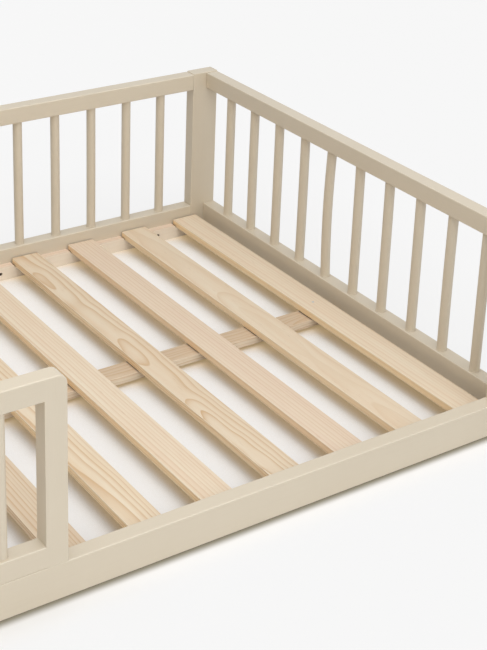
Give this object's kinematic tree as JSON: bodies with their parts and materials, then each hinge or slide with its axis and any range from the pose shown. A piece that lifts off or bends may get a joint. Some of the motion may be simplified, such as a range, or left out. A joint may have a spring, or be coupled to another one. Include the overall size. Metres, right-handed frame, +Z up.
{
  "type": "toddler floor bed",
  "caption": "Low rectangular wooden bed frame with spindle rails on three sides, a guard on part of the open front and a slatted base near the floor.",
  "frame": {"origin": "on the floor, under the middle of the bed's outline", "axes": "+X along the bed to the right as seen from its open front, +Y from the front to the back, +Z up"},
  "size_m": [1.96, 0.96, 0.3515],
  "materials": {
    "sand_paint": "solid wood under satin sand-beige paint",
    "pine": "planed, untreated pine",
    "zinc_steel": "zinc-plated steel"
  },
  "bodies": {
    "root": {"back_bottom_rail": "sand_paint", "back_left_stile": "sand_paint", "back_right_stile": "sand_paint", "back_slat_bearer": "pine", "back_spindles": "sand_paint", "back_top_rail": "sand_paint", "barrel_nuts": "zinc_steel", "bearer_screws": "zinc_steel", "centre_beam": "pine", "corner_bolts": "zinc_steel", "front_left_stile": "sand_paint", "front_rail": "sand_paint", "front_right_stile": "sand_paint", "front_slat_bearer": "pine", "guard_bottom_bar": "sand_paint", "guard_fixed_stile": "sand_paint", "guard_free_stile": "sand_paint", "guard_screws": "zinc_steel", "guard_spindles": "sand_paint", "guard_top_bar": "sand_paint", "left_end_bottom_rail": "sand_paint", "left_end_spindles": "sand_paint", "left_end_top_rail": "sand_paint", "right_end_bottom_rail": "sand_paint", "right_end_spindles": "sand_paint", "right_end_top_rail": "sand_paint", "slat_01": "pine", "slat_02": "pine", "slat_03": "pine", "slat_04": "pine", "slat_05": "pine", "slat_06": "pine", "slat_07": "pine", "slat_08": "pine", "slat_09": "pine", "slat_10": "pine", "slat_11": "pine", "slat_12": "pine", "slat_13": "pine", "slat_14": "pine", "slat_15": "pine"}
  },
  "joints": []
}
